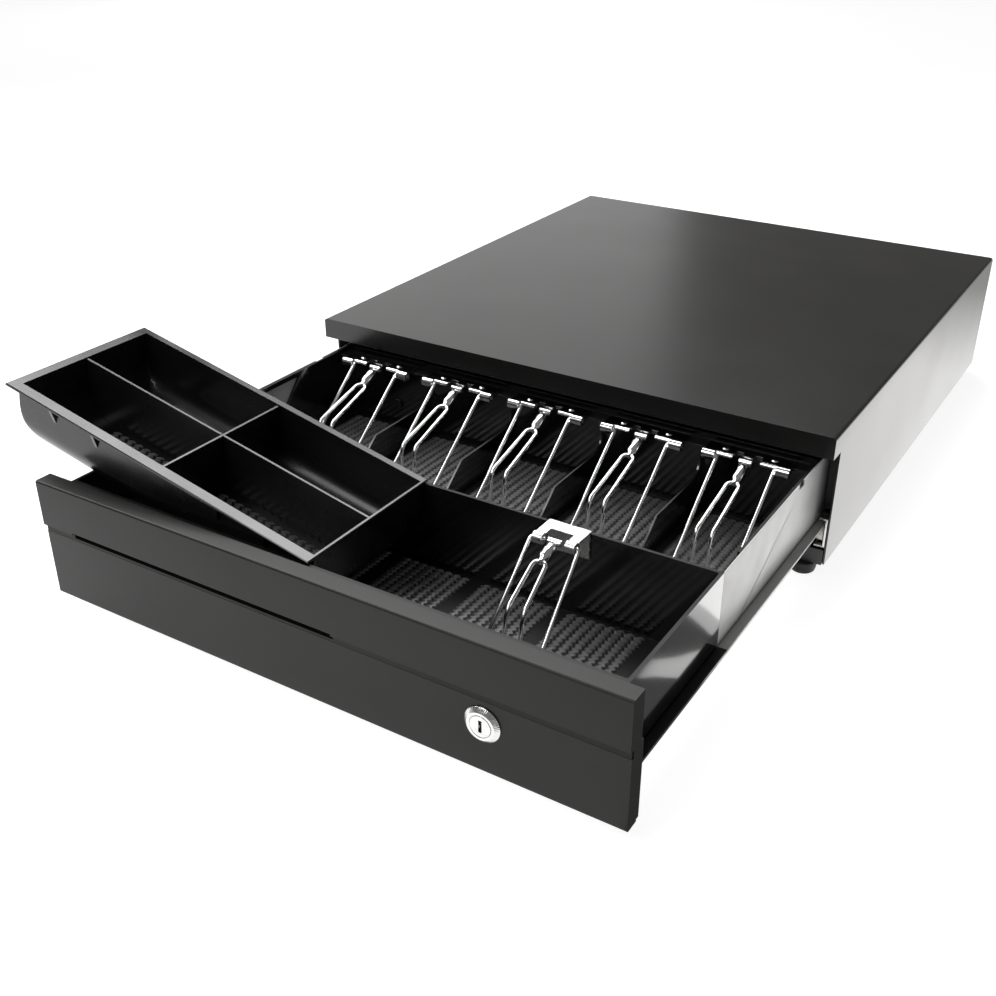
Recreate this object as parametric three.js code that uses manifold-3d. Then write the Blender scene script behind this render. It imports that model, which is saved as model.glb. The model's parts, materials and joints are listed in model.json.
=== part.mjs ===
// A till drawer: a steel cabinet, a drawer on rollers, a bill till with clips, and a lift-out coin tray.
// Millimetres, +Z up. X runs along the front, and Y runs from the front to the back.
import * as THREE from 'three';
import { mergeVertices } from 'three/addons/utils/BufferGeometryUtils.js';
import Module from 'manifold-3d';

const wasm = await Module();
wasm.setup();

// ---- driving dimensions ----
const GAP = 0.3; // between pieces that touch
const SHEET = 1.2; // steel sheet
const WIDTH = 410;
const DEPTH = 438;
const HEIGHT = 100;
const HALF = WIDTH / 2;

const LIP = { height: 15.3, depth: 14.5 }; // the cover's nose, over the drawer's front
const OPENED = 282.2; // how far the drawer stands open

const PANEL = {
  thick: 11.6, height: 82.4, stepZ: 51.5, stepDepth: 1.8, grooveDepth: 3.4, grooveLow: 46.5, edge: 1.5,
  cheek: { inner: HALF - 1.2, reach: 2.4 }, // the front's ends reach a little further back
};
const PANEL_FRONT = -OPENED;
const PANEL_BACK = PANEL_FRONT + PANEL.thick;

const BOX_HALF = 194; // the drawer box's outer side
const BOX_BOTTOM = 15;
const BOX_TOP = 77.3;
const FLOOR_Z = 19.5;
const SEAM_Y = -148.5; // where the front tub ends and the steel sides begin
const TUB = { wall: 2.2, rimFront: -262, innerFront: -264, crossWall: 2, cornerRadius: 1.5 };
const TILL = {
  half: 192.7, wall: 1.9, back: 12, backWall: 1.8, ledgeFront: -2, ledgeTop: 73.4, ledgeThick: 1.5,
  sideTop: BOX_TOP - 1.3, dipTop: BOX_TOP - 5, dip: [-122, -50], sideFoot: -96, boss: { x: -144, z: 37.5 },
};
const PAN = {
  back: 125, backTop: 30, sideDrop: 30, slope: 40, thick: 1.1, notch: [-28, -19], notchDepth: 3.5,
};

const COMPARTMENTS = 5;
const PITCH = 75.3;
const DIVIDER = { thick: 1.6, plateau: 46.5, plateauBack: -16, shoulder: 66, frontTop: -60, frontFoot: -94 };

const SLOT = { left: -179, right: 24.4, low: 48.4, high: 52.8 }; // media slot in the front
const LOCK = {
  x: 121, z: 32, rim: 11, face: 8.3, stand: 2.6, edge: 0.5, barrel: 9, plug: 6.5,
  keyway: { half: 1, height: 7.6, depth: 6 }, spindle: 3, cam: { radius: 5, reach: 13, thick: 2 },
};

const RAIL = { inner: BOX_HALF + GAP, low: 15, top: 28, reach: 200.5 };
const ROLLER = { front: 5.5, rear: 6.2, bore: 2.3, stud: 2, width: 4.6 };
const FRONT_ROLLER = { y: 20.5, z: 20.9 };
const REAR_ROLLER = { y: 112, z: 19.95 };

const WIRE = 1.3; // radius of the clips' wire
const BARREL = { outer: 2.7, bore: 1.65 };
const SLEEVE = 3; // radius of the crimped sleeve on the presser
const PRONG = 5; // half the space between the presser's prongs
const REAR_CLIP = { y: -8, z: 72.2, half: 30, barrel: 8.6, legX: 19.8, legTip: [19.8, -62, -49.2] };
const FRONT_CLIP = { x: 98.5, y: -168, z: 76.1, half: 14, barrel: 6.5, legX: 15.7, legTip: [17.8, -54, -53] };

const TRAY = {
  length: 243, width: 115.5, depth: 42.9, wall: 1.8, flange: 2, tilt: THREE.MathUtils.degToRad(12.68),
  right: -3.7, front: -264, top: 79.6, border: { left: 5.2, front: 5.7, back: 3.2 },
  endRadius: 30, rightRadius: 10, sideRadius: 18, divider: 1.6, cross: -117, long: 58.5,
  gusset: { at: [-36, -72, -171, -207], front: 1.2, back: 7, low: -17, thick: 2.4 },
};

const FOOT = { radius: 9.5, height: 9, x: 190, front: 17, back: 420 };
const BASE = { front: 12.6, back: 435.5, upstand: 11.5 };
const CABINET_RAIL = { inner: 195.9, outer: 203.2, low: 12, high: 34, front: 15, back: 432 };
const FRAME = {
  y: 27, thick: 1.4, post: 195.8, low: 36, head: 84.5, screw: { x: -199.5, z: 74, radius: 2.6 },
};

const LATCH = {
  pivotY: 428, pivotZ: 27, hookY: 414.5, halfWidth: 5, pin: 1.5, bore: 1.9,
  raised: THREE.MathUtils.degToRad(25),
  bracket: { half: 20, top: 90, earLow: 21, earTop: 34, earFront: 5 },
};
const SOLENOID = { half: 11, front: 411, low: 50, high: 82, bore: 4.4, plunger: 4, y: 421 };
const SWITCH = { x: 45, front: 418, low: 22, length: 20, depth: 15, height: 10 };
const EJECTOR = {
  x: -60, z: 22, reach: 408.5, rod: 3.6, head: 7.4, bore: 7.8, body: 9.5, length: 16, coil: 5.6, turns: 4,
};
const SOCKET = { x: 152, z: 22, width: 16, height: 14, depth: 16, wall: 2 };

// ---- materials ----
function finish(colour, roughness, metalness) {
  return new THREE.MeshStandardMaterial({ color: colour, roughness, metalness });
}
const coverPaint = finish(0x55534f, 0.45, 0.3);
const blackPaint = finish(0x161617, 0.5, 0.2);
const sideSteel = finish(0xb9b9b7, 0.3, 0.6);
const panelPlastic = finish(0x4c4a47, 0.5, 0);
const glossBlack = finish(0x141415, 0.2, 0);
const trayPlastic = finish(0x2c2c2d, 0.25, 0);
const chrome = finish(0xd8d8d6, 0.12, 1);
const zinc = finish(0xc6c7c5, 0.3, 1);
const nylon = finish(0xd9d6cc, 0.45, 0);
const rubber = finish(0x0f0f10, 0.85, 0);
const springSteel = finish(0x8f9092, 0.3, 1);
const coilBlue = finish(0x2b3a55, 0.55, 0);

// ---- solids ----
function toSolid(geometry) {
  const plain = geometry.clone();
  plain.deleteAttribute('normal');
  plain.deleteAttribute('uv');
  const welded = mergeVertices(plain, 1e-4);
  return new wasm.Manifold(new wasm.Mesh({
    numProp: 3,
    vertProperties: new Float32Array(welded.attributes.position.array),
    triVerts: new Uint32Array(welded.index.array),
  }));
}

function toGeometry(solid) {
  const mesh = solid.getMesh();
  const geometry = new THREE.BufferGeometry();
  geometry.setAttribute('position', new THREE.BufferAttribute(mesh.vertProperties, 3));
  geometry.setIndex(new THREE.BufferAttribute(mesh.triVerts, 1));
  geometry.computeVertexNormals();
  return geometry;
}

function join(...geometries) {
  return toGeometry(geometries.map(toSolid).reduce((a, b) => a.add(b)));
}

function cut(geometry, ...tools) {
  return toGeometry(tools.map(toSolid).reduce((a, b) => a.subtract(b), toSolid(geometry)));
}

function common(a, b) {
  return toGeometry(toSolid(a).intersect(toSolid(b)));
}

function block(x0, x1, y0, y1, z0, z1) {
  const geometry = new THREE.BoxGeometry(x1 - x0, y1 - y0, z1 - z0);
  return geometry.translate((x0 + x1) / 2, (y0 + y1) / 2, (z0 + z1) / 2);
}

function outline(points) {
  return new THREE.Shape(points.map(([u, v]) => new THREE.Vector2(u, v)));
}

// a rectangle whose corners are rounded by r = [low left, low right, high right, high left]
function roundedShape(u0, u1, v0, v1, r) {
  const shape = new THREE.Shape();
  shape.moveTo(u0 + r[0], v0);
  shape.lineTo(u1 - r[1], v0);
  if (r[1]) shape.absarc(u1 - r[1], v0 + r[1], r[1], -Math.PI / 2, 0);
  shape.lineTo(u1, v1 - r[2]);
  if (r[2]) shape.absarc(u1 - r[2], v1 - r[2], r[2], 0, Math.PI / 2);
  shape.lineTo(u0 + r[3], v1);
  if (r[3]) shape.absarc(u0 + r[3], v1 - r[3], r[3], Math.PI / 2, Math.PI);
  shape.lineTo(u0, v0 + r[0]);
  if (r[0]) shape.absarc(u0 + r[0], v0 + r[0], r[0], Math.PI, 1.5 * Math.PI);
  return shape;
}

function extruded(shape, depth, curveSegments = 4) {
  return new THREE.ExtrudeGeometry(shape, { depth, bevelEnabled: false, curveSegments });
}

// a shape drawn in Y and Z, carried along X
function alongX(shape, x0, x1, curveSegments) {
  const turn = new THREE.Matrix4().makeBasis(
    new THREE.Vector3(0, 1, 0), new THREE.Vector3(0, 0, 1), new THREE.Vector3(1, 0, 0));
  return extruded(shape, x1 - x0, curveSegments).applyMatrix4(turn).translate(x0, 0, 0);
}

// a shape drawn in X and Z, carried along Y
function alongY(shape, y0, y1, curveSegments) {
  return extruded(shape, y1 - y0, curveSegments).rotateX(Math.PI / 2).translate(0, y1, 0);
}

// a shape drawn in X and Y, carried along Z
function alongZ(shape, z0, z1, curveSegments) {
  return extruded(shape, z1 - z0, curveSegments).translate(0, 0, z0);
}

function rod(from, to, radius, sides = 12) {
  const a = new THREE.Vector3(...from);
  const b = new THREE.Vector3(...to);
  const along = b.clone().sub(a);
  const turn = new THREE.Quaternion().setFromUnitVectors(
    new THREE.Vector3(0, 1, 0), along.clone().normalize());
  const middle = a.add(b).multiplyScalar(0.5);
  return new THREE.CylinderGeometry(radius, radius, along.length(), sides)
    .applyQuaternion(turn).translate(middle.x, middle.y, middle.z);
}

function ring(x0, x1, y, z, outer, inner, sides = 16) {
  return cut(rod([x0, y, z], [x1, y, z], outer, sides), rod([x0 - 1, y, z], [x1 + 1, y, z], inner, sides));
}

function wire(points, radius, steps) {
  const section = new THREE.Shape().absarc(0, 0, radius, 0, 2 * Math.PI);
  const path = new THREE.CatmullRomCurve3(points.map((p) => new THREE.Vector3(...p)), false, 'centripetal');
  const settings = { steps, extrudePath: path, curveSegments: 4, bevelEnabled: false };
  return new THREE.ExtrudeGeometry(section, settings);
}

const object = new THREE.Group();
const shell = new THREE.Group(); // everything, measured from the cover's nose
shell.position.y = -(BASE.front + BASE.back) / 2;
object.add(shell);

function place(name, geometry, material, parent = shell) {
  const mesh = new THREE.Mesh(geometry, material);
  mesh.name = name;
  parent.add(mesh);
  return mesh;
}

// left and right copies of a piece made for the right side
function mirrored(geometry) {
  return toGeometry(toSolid(geometry).mirror([1, 0, 0]));
}

// ---- cabinet ----
function topCover() {
  const profile = (low, inset) => roundedShape(
    -HALF + inset, HALF - inset, low, HEIGHT - inset, [0, 0, 2.5 - inset, 2.5 - inset]);
  return cut(
    alongY(profile(0, 0), 0, DEPTH),
    alongY(profile(-5, SHEET), SHEET, DEPTH + 5),
    block(-HALF - 5, HALF + 5, -5, LIP.depth, -5, HEIGHT - LIP.height));
}

function basePlate() {
  const half = HALF - SHEET - GAP;
  return join(
    block(-half, half, BASE.front, BASE.back, 0, SHEET),
    block(-half, half, BASE.front, BASE.front + SHEET, 0.1, BASE.upstand));
}

function rearPanel() {
  const half = HALF - SHEET - GAP;
  const y = BASE.back + 0.5;
  const plate = block(-half, half, y, y + SHEET, SHEET + GAP, HEIGHT - SHEET - GAP - 1);
  const { x, z, width, height } = SOCKET;
  const window = block(x - GAP, x + width + GAP, y - 1, y + 2 * SHEET, z - GAP, z + height + GAP);
  return cut(plate, window);
}

function frontFrame() {
  const half = HALF - SHEET - GAP;
  const top = HEIGHT - SHEET - GAP - 1;
  const portal = outline([
    [-half, FRAME.low], [-FRAME.post, FRAME.low], [-FRAME.post, FRAME.head], [FRAME.post, FRAME.head],
    [FRAME.post, FRAME.low], [half, FRAME.low], [half, top], [-half, top]]);
  const { x, z, radius } = FRAME.screw;
  const screwHead = rod([x, FRAME.y + 0.1, z], [x, FRAME.y - 1.4, z], radius);
  return join(alongY(portal, FRAME.y, FRAME.y + FRAME.thick), screwHead);
}

function cabinetRail() {
  const { inner, outer, low, high, front, back } = CABINET_RAIL;
  const web = outer - SHEET - 0.2;
  const channel = outline([
    [inner, low], [outer, low], [outer, high], [inner + 1.3, high], [inner + 1.3, high - 1.4],
    [web, high - 1.4], [web, low + 1.4], [inner, low + 1.4]]);
  const stud = rod(
    [inner + 0.4, FRONT_ROLLER.y, FRONT_ROLLER.z], [web + 0.2, FRONT_ROLLER.y, FRONT_ROLLER.z], ROLLER.stud);
  return join(alongY(channel, front, back), stud);
}

function roller(y, z, radius, from) {
  return ring(from, from + ROLLER.width, y, z, radius, ROLLER.bore, 20);
}

function foot(x, y) {
  const profile = [
    new THREE.Vector2(0, -FOOT.height), new THREE.Vector2(FOOT.radius - 1.6, -FOOT.height),
    new THREE.Vector2(FOOT.radius - 0.6, -FOOT.height + 1.2), new THREE.Vector2(FOOT.radius, -GAP),
    new THREE.Vector2(0, -GAP)];
  return new THREE.LatheGeometry(profile, 20).rotateX(Math.PI / 2).translate(x, y, 0);
}

function latchBracket() {
  const back = BASE.back - 1.3;
  const { pivotY, pivotZ, pin, bracket } = LATCH;
  const { half, top, earLow, earTop, earFront } = bracket;
  const gap = LATCH.halfWidth + 1.2;
  const ear = (x) => block(x, x + SHEET, pivotY - earFront, back + 0.1, earLow, earTop);
  return join(
    block(-half, half, back, back + SHEET, SHEET + GAP, top),
    block(-half, half, SOLENOID.front, back + 0.1, SHEET + GAP, 2 * SHEET + GAP),
    ear(gap), ear(-gap - SHEET),
    rod([-gap - 0.5, pivotY, pivotZ], [gap + 0.5, pivotY, pivotZ], pin));
}

// drawn latched, about its own pivot, then raised to let the drawer run
function latchLever() {
  const reach = LATCH.hookY - LATCH.pivotY;
  const plate = outline([
    [4, -4], [4, 4], [reach - 2, 4], [reach - 2, -10], [reach + 1.5, -7.5], [reach + 1.5, -3], [-4, -4]]);
  const arm = cut(
    alongX(plate, -LATCH.halfWidth + 1.5, LATCH.halfWidth - 1.5),
    rod([-9, 0, 0], [9, 0, 0], LATCH.bore));
  return arm.rotateX(-LATCH.raised).translate(0, LATCH.pivotY, LATCH.pivotZ);
}

function solenoidBody() {
  const back = BASE.back - 1.3 - GAP;
  return cut(
    block(-SOLENOID.half, SOLENOID.half, SOLENOID.front, back, SOLENOID.low, SOLENOID.high),
    rod([0, SOLENOID.y, SOLENOID.low - 1], [0, SOLENOID.y, SOLENOID.high - 8], SOLENOID.bore));
}

function solenoidPlunger() {
  return join(
    rod([0, SOLENOID.y, 41], [0, SOLENOID.y, SOLENOID.high - 12], SOLENOID.plunger, 16),
    rod([0, SOLENOID.y, 38], [0, SOLENOID.y, 41.1], 2.2));
}

function cableSocket() {
  const back = BASE.back + 2.2;
  const { x, z, width, height, depth, wall } = SOCKET;
  return cut(
    block(x, x + width, back - depth, back, z, z + height),
    block(x + wall, x + width - wall, back - depth + 2 * wall, back + 1, z + wall, z + height - wall));
}

function drawerSwitch() {
  const { x, front, low, length, depth, height } = SWITCH;
  return block(x, x + length, front, front + depth, low, low + height);
}

function switchLever() {
  const leaf = outline([[-0.4, -0.4], [-7.4, 13.2], [-6.9, 13.6], [0.6, 0.6]]);
  return join(
    alongX(leaf, SWITCH.x + 7, SWITCH.x + 13),
    rod([SWITCH.x + 7, 0, 0], [SWITCH.x + 13, 0, 0], 1)).translate(0, SWITCH.front - 1.4, SWITCH.low + 1);
}

function ejectorHousing() {
  const back = BASE.back - GAP;
  const { x, z, body, bore, length } = EJECTOR;
  const barrel = rod([x, back - length, z], [x, back, z], body, 20);
  const pad = block(x - 8, x + 8, back - length, back, SHEET + GAP, z - 4);
  return cut(join(barrel, pad), rod([x, back - length - 1, z], [x, back - 2, z], bore, 20));
}

function ejectorPlunger() {
  const { x, z, reach, head, rod: stem } = EJECTOR;
  return join(
    rod([x, reach, z], [x, reach + 3, z], head, 20),
    rod([x, reach + 2.9, z], [x, reach + 14, z], stem));
}

function ejectorSpring() {
  const { x, z, reach, coil, turns } = EJECTOR;
  const start = reach + 3.7;
  const pitch = (BASE.back - GAP - 2.7 - start) / turns;
  const points = [];
  for (let i = 0; i <= turns * 8; i += 1) {
    const angle = (i * Math.PI) / 4;
    points.push([x + coil * Math.cos(angle), start + (pitch * i) / 8, z + coil * Math.sin(angle)]);
  }
  return wire(points, 0.6, turns * 12);
}

// ---- drawer ----
function panelProfile() {
  const { height, edge, stepZ, stepDepth, grooveDepth, grooveLow } = PANEL;
  const lower = PANEL_FRONT + stepDepth;
  const groove = PANEL_FRONT + grooveDepth;
  const profile = new THREE.Shape();
  profile.moveTo(PANEL_BACK, 0);
  profile.lineTo(PANEL_BACK, height);
  profile.lineTo(PANEL_FRONT + edge, height);
  profile.absarc(PANEL_FRONT + edge, height - edge, edge, Math.PI / 2, Math.PI);
  profile.lineTo(PANEL_FRONT, stepZ);
  profile.lineTo(groove, stepZ);
  profile.lineTo(groove, grooveLow);
  profile.lineTo(lower, grooveLow);
  profile.lineTo(lower, edge);
  profile.absarc(lower + edge, edge, edge, Math.PI, 1.5 * Math.PI);
  return profile;
}

function frontPanel() {
  const front = PANEL_FRONT - 1;
  const back = PANEL_BACK + 1;
  const { inner, reach } = PANEL.cheek;
  const cheek = (x) => block(
    x, x + HALF - inner, PANEL_BACK - 1, PANEL_BACK + reach, PANEL.edge, PANEL.stepZ);
  const slot = block(SLOT.left, SLOT.right, front, back, SLOT.low, SLOT.high);
  const lockHole = rod([LOCK.x, front, LOCK.z], [LOCK.x, back, LOCK.z], LOCK.barrel + GAP, 24);
  return cut(join(alongX(panelProfile(), -HALF, HALF), cheek(inner), cheek(-HALF)), slot, lockHole);
}

function frontTub() {
  const inner = BOX_HALF - TUB.wall;
  const front = PANEL_BACK + GAP;
  const radii = Array(4).fill(TUB.cornerRadius);
  const body = block(-BOX_HALF, BOX_HALF, front, SEAM_Y, BOX_BOTTOM, BOX_TOP);
  const room = alongZ(
    roundedShape(-inner, inner, TUB.rimFront, SEAM_Y - TUB.crossWall, radii), FLOOR_Z, BOX_TOP + 1);
  const pocket = block(-inner, inner, front - 1, TUB.innerFront, BOX_BOTTOM + 2, BOX_TOP - 2);
  const slot = block(SLOT.left, SLOT.right, front, TUB.rimFront + 1, SLOT.low, SLOT.high);
  return cut(body, room, pocket, slot);
}

function drawerPan() {
  const low = BOX_BOTTOM - GAP - PAN.thick;
  const inner = BOX_HALF - 1;
  const front = SEAM_Y + GAP;
  const top = BOX_TOP - 0.8;
  const [notchFront, notchBack] = PAN.notch;
  const side = outline([
    [front, low], [PAN.back, low], [PAN.back, PAN.backTop], [PAN.sideDrop + PAN.slope, PAN.backTop + 10],
    [PAN.sideDrop, top], [notchBack, top], [notchBack, top - PAN.notchDepth],
    [notchFront, top - PAN.notchDepth], [notchFront, top], [front, top]]);
  return join(
    block(-BOX_HALF, BOX_HALF, PANEL_BACK + GAP, PAN.back, low, low + PAN.thick),
    alongX(side, inner, BOX_HALF), alongX(side, -BOX_HALF, -inner),
    block(-BOX_HALF, BOX_HALF, PAN.back - SHEET, PAN.back, low, PAN.backTop));
}

function drawerRail() {
  const { inner, low, top, reach } = RAIL;
  const angle = outline([
    [inner, low], [inner + SHEET, low], [inner + SHEET, top - SHEET], [reach, top - SHEET],
    [reach, top], [inner, top]]);
  const { y, z } = REAR_ROLLER;
  const stud = rod([inner + 0.5, y, z], [reach + 0.4, y, z], ROLLER.stud);
  return join(alongY(angle, PANEL_BACK + GAP, PAN.back - 5), stud);
}

function billTill() {
  const { half, wall, back, backWall, ledgeFront, ledgeTop, ledgeThick, sideTop, dipTop, dip } = TILL;
  const front = SEAM_Y + GAP;
  const sideShape = outline([
    [front + 1, BOX_BOTTOM], [back, BOX_BOTTOM], [back, sideTop], [dip[0], sideTop],
    [dip[0], dipTop], [dip[1], dipTop], [TILL.sideFoot, FLOOR_Z], [front + 1, FLOOR_Z]]);
  const { x, z } = TILL.boss;
  const boss = rod([x, back - backWall + 0.1, z], [x, back - 2 * backWall, z], 4, 16);
  return join(
    block(-half, half, front, back, BOX_BOTTOM, FLOOR_Z),
    alongX(sideShape, half - wall, half), alongX(sideShape, -half, -half + wall),
    block(-half, half, back - backWall, back, BOX_BOTTOM, BOX_TOP),
    block(-half + 0.1, half - 0.1, ledgeFront, back, ledgeTop - ledgeThick, ledgeTop), boss);
}

function divider() {
  const back = TILL.back - TILL.backWall - GAP;
  const profile = new THREE.Shape();
  profile.moveTo(back, FLOOR_Z + GAP);
  profile.lineTo(back, TILL.ledgeTop - TILL.ledgeThick - GAP);
  profile.lineTo(back - 1.5, DIVIDER.shoulder);
  profile.quadraticCurveTo(
    back - 2, DIVIDER.plateau + 1.5, back + DIVIDER.plateauBack, DIVIDER.plateau);
  profile.lineTo(DIVIDER.frontTop, DIVIDER.plateau);
  profile.lineTo(DIVIDER.frontFoot, FLOOR_Z + GAP);
  return alongX(profile, -DIVIDER.thick / 2, DIVIDER.thick / 2, 6);
}

function lockBody() {
  const base = PANEL_FRONT + PANEL.stepDepth - GAP;
  const { x, z, rim, face, stand, edge, barrel, plug } = LOCK;
  const slope = stand - edge;
  return cut(
    join(
      rod([x, base, z], [x, base - edge, z], rim, 32),
      new THREE.CylinderGeometry(rim, face, slope, 32).translate(x, base - edge - slope / 2, z),
      rod([x, base - 0.2, z], [x, PANEL_BACK - 0.2, z], barrel, 28)),
    rod([x, base - 10, z], [x, PANEL_BACK + 5, z], plug + GAP, 24));
}

function lockPlug() {
  const face = PANEL_FRONT + PANEL.stepDepth - GAP - LOCK.stand;
  const { x, z, plug, keyway, spindle } = LOCK;
  const reach = keyway.height / 2;
  return cut(
    join(
      rod([x, face, z], [x, PANEL_BACK + 0.4, z], plug, 24),
      rod([x, PANEL_BACK + 0.3, z], [x, PANEL_BACK + 4.5, z], spindle, 16)),
    block(x - keyway.half, x + keyway.half, face - 1, face + keyway.depth, z - reach, z + reach));
}

function lockCam() {
  const { x, z, spindle, cam } = LOCK;
  const from = PANEL_BACK + 0.8;
  const plate = new THREE.Shape();
  plate.absarc(x, z, cam.radius, Math.PI / 2, 1.5 * Math.PI);
  plate.lineTo(x + cam.reach, z - cam.radius + 1);
  plate.lineTo(x + cam.reach, z + cam.radius - 1);
  const bore = rod([x, from - 1, z], [x, from + cam.thick + 1, z], spindle + GAP, 16);
  return cut(alongY(plate, from, from + cam.thick, 8), bore);
}

function striker() {
  const y = PAN.back + GAP;
  const tongue = outline([[-8, y + 1], [8, y + 1], [8, y + 18], [-8, y + 18]]);
  const hole = block(-4.6, 4.6, y + 4.5, y + 14, 15, 25);
  return join(
    cut(alongZ(tongue, 18.4, 20), hole),
    block(-8, 8, y, y + SHEET, 16, 28));
}

// ---- bill clips: each is drawn about its own pin, which runs along X ----
function wideBracket() {
  const { half, barrel } = REAR_CLIP;
  const under = TILL.ledgeTop + GAP - REAR_CLIP.z;
  const over = under + SHEET;
  const plate = outline([
    [-half, 0], [-half + barrel, 0], [-half + barrel, 2], [-10, 2], [-10, 5], [-4, 5], [-4, 3.4],
    [4, 3.4], [4, 5], [10, 5], [10, 2], [half - barrel, 2], [half - barrel, 0], [half, 0],
    [half, 14], [-half, 14]]);
  const curl = (x0, x1) => ring(x0, x1, 0, 0, BARREL.outer, BARREL.bore, 12);
  const rivet = (x) => rod([x, 8, over - 0.1], [x, 8, over + 0.9], 2.6);
  return cut(
    join(
      alongZ(plate, under, over), curl(-half, -half + barrel), curl(half - barrel, half),
      rivet(-17), rivet(17)),
    rod([-half - 1, 0, 0], [half + 1, 0, 0], BARREL.bore));
}

function narrowBracket() {
  const { half, barrel, y, z } = FRONT_CLIP;
  const under = BOX_TOP + GAP - z;
  const over = under + SHEET;
  const wallFace = SEAM_Y - TUB.crossWall - GAP - y;
  const back = SEAM_Y - 1 - y;
  const armIn = half - barrel;
  const plate = outline([
    [-half, 0], [-armIn, 0], [-armIn, 9], [armIn, 9], [armIn, 0], [half, 0], [half, back], [-half, back]]);
  const curl = (x0, x1) => ring(x0, x1, 0, 0, BARREL.outer, BARREL.bore, 12);
  return cut(
    join(
      alongZ(plate, under, over), curl(-half, -armIn), curl(armIn, half),
      block(-half, half, wallFace - SHEET, wallFace, under - 17, under + 0.1)),
    rod([-half - 1, 0, 0], [half + 1, 0, 0], BARREL.bore));
}

function bail(legX, pinHalf, [tipX, tipY, tipZ]) {
  return join(
    rod([-pinHalf, 0, 0], [pinHalf, 0, 0], WIRE, 10),
    rod([-legX, 0, 0], [-tipX, tipY, tipZ], WIRE, 8),
    rod([legX, 0, 0], [tipX, tipY, tipZ], WIRE, 8));
}

// sleeve = where the crimped sleeve ends, knee = where a prong turns down, tip = its end, all as [y, z]
function fork(sleeve, shoulder, knee, tip) {
  const side = (x) => [
    [x, ...tip], [x, knee[0] - 1, knee[1] - 6], [x, knee[0] + 3, knee[1]], [x, ...shoulder]];
  const hairpin = [...side(-PRONG), [0, sleeve[0] - 0.5, sleeve[1] - 0.3], ...side(PRONG).reverse()];
  return cut(
    join(
      rod([-3, 0, 0], [3, 0, 0], SLEEVE, 12),
      rod([0, 0, 0], [0, ...sleeve], SLEEVE, 12),
      wire(hairpin, WIRE, 26)),
    rod([-4, 0, 0], [4, 0, 0], BARREL.bore, 12));
}

// ---- coin tray, drawn level about its right-hand top edge, then tilted as a whole ----
function trayBowl(inset, top) {
  const { length, width, depth, border, endRadius, rightRadius, sideRadius } = TRAY;
  const low = -depth + inset;
  const lengthways = roundedShape(
    -length + border.left + inset, -inset, low, top, [endRadius - inset, rightRadius - inset, 0, 0]);
  const side = sideRadius - inset;
  const across = roundedShape(
    border.front + inset, width - border.back - inset, low, top, [side, side, 0, 0]);
  return common(alongY(lengthways, 0, width, 6), alongX(across, -length, 0, 5));
}

function trayShell() {
  const { length, width, wall, flange, gusset } = TRAY;
  const rim = alongZ(roundedShape(-length, 0, 0, width, [3, 0.5, 0.5, 3]), -flange, 0);
  const top = -flange + 0.1;
  const triangle = outline([[gusset.front, top], [gusset.back, top], [gusset.back, gusset.low]]);
  const gussets = gusset.at.map((x) => alongX(triangle, x, x + gusset.thick));
  return cut(join(trayBowl(0, -0.5), rim, ...gussets), trayBowl(wall, 5));
}

function trayDivider(cutter, slot) {
  return cut(common(trayBowl(TRAY.wall + GAP, -0.8), cutter), slot);
}

function trayLongDivider() {
  const { long, divider: t, cross, length, depth } = TRAY;
  return trayDivider(
    block(-length, 0, long - t / 2, long + t / 2, -depth, 1),
    block(cross - t / 2 - GAP, cross + t / 2 + GAP, long - 5, long + 5, -depth / 2, 5));
}

function trayCrossDivider() {
  const { long, divider: t, cross, width, depth } = TRAY;
  return trayDivider(
    block(cross - t / 2, cross + t / 2, 0, width, -depth, 1),
    block(cross - 5, cross + 5, long - t / 2 - GAP, long + t / 2 + GAP, -depth, -depth / 2 + GAP));
}

// ---- assembly ----
function addCabinet() {
  place('top_cover', topCover(), coverPaint);
  place('base_plate', basePlate(), blackPaint);
  place('rear_panel', rearPanel(), blackPaint);
  place('front_frame', frontFrame(), blackPaint);
  place('cabinet_rail_right', cabinetRail(), zinc);
  place('cabinet_rail_left', mirrored(cabinetRail()), zinc);
  const wheel = roller(FRONT_ROLLER.y, FRONT_ROLLER.z, ROLLER.front, CABINET_RAIL.inner + 0.5);
  place('front_roller_right', wheel, nylon);
  place('front_roller_left', mirrored(wheel), nylon);
  for (const [row, y] of [['front', FOOT.front], ['rear', FOOT.back]]) {
    place(`foot_${row}_left`, foot(-FOOT.x, y), rubber);
    place(`foot_${row}_right`, foot(FOOT.x, y), rubber);
  }
  place('latch_bracket', latchBracket(), zinc);
  place('latch_lever', latchLever(), springSteel);
  place('solenoid_body', solenoidBody(), coilBlue);
  place('solenoid_plunger', solenoidPlunger(), springSteel);
  place('cable_socket', cableSocket(), blackPaint);
  place('drawer_switch', drawerSwitch(), blackPaint);
  place('switch_lever', switchLever(), springSteel);
  place('ejector_housing', ejectorHousing(), blackPaint);
  place('ejector_plunger', ejectorPlunger(), nylon);
  place('ejector_spring', ejectorSpring(), springSteel);
}

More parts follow.
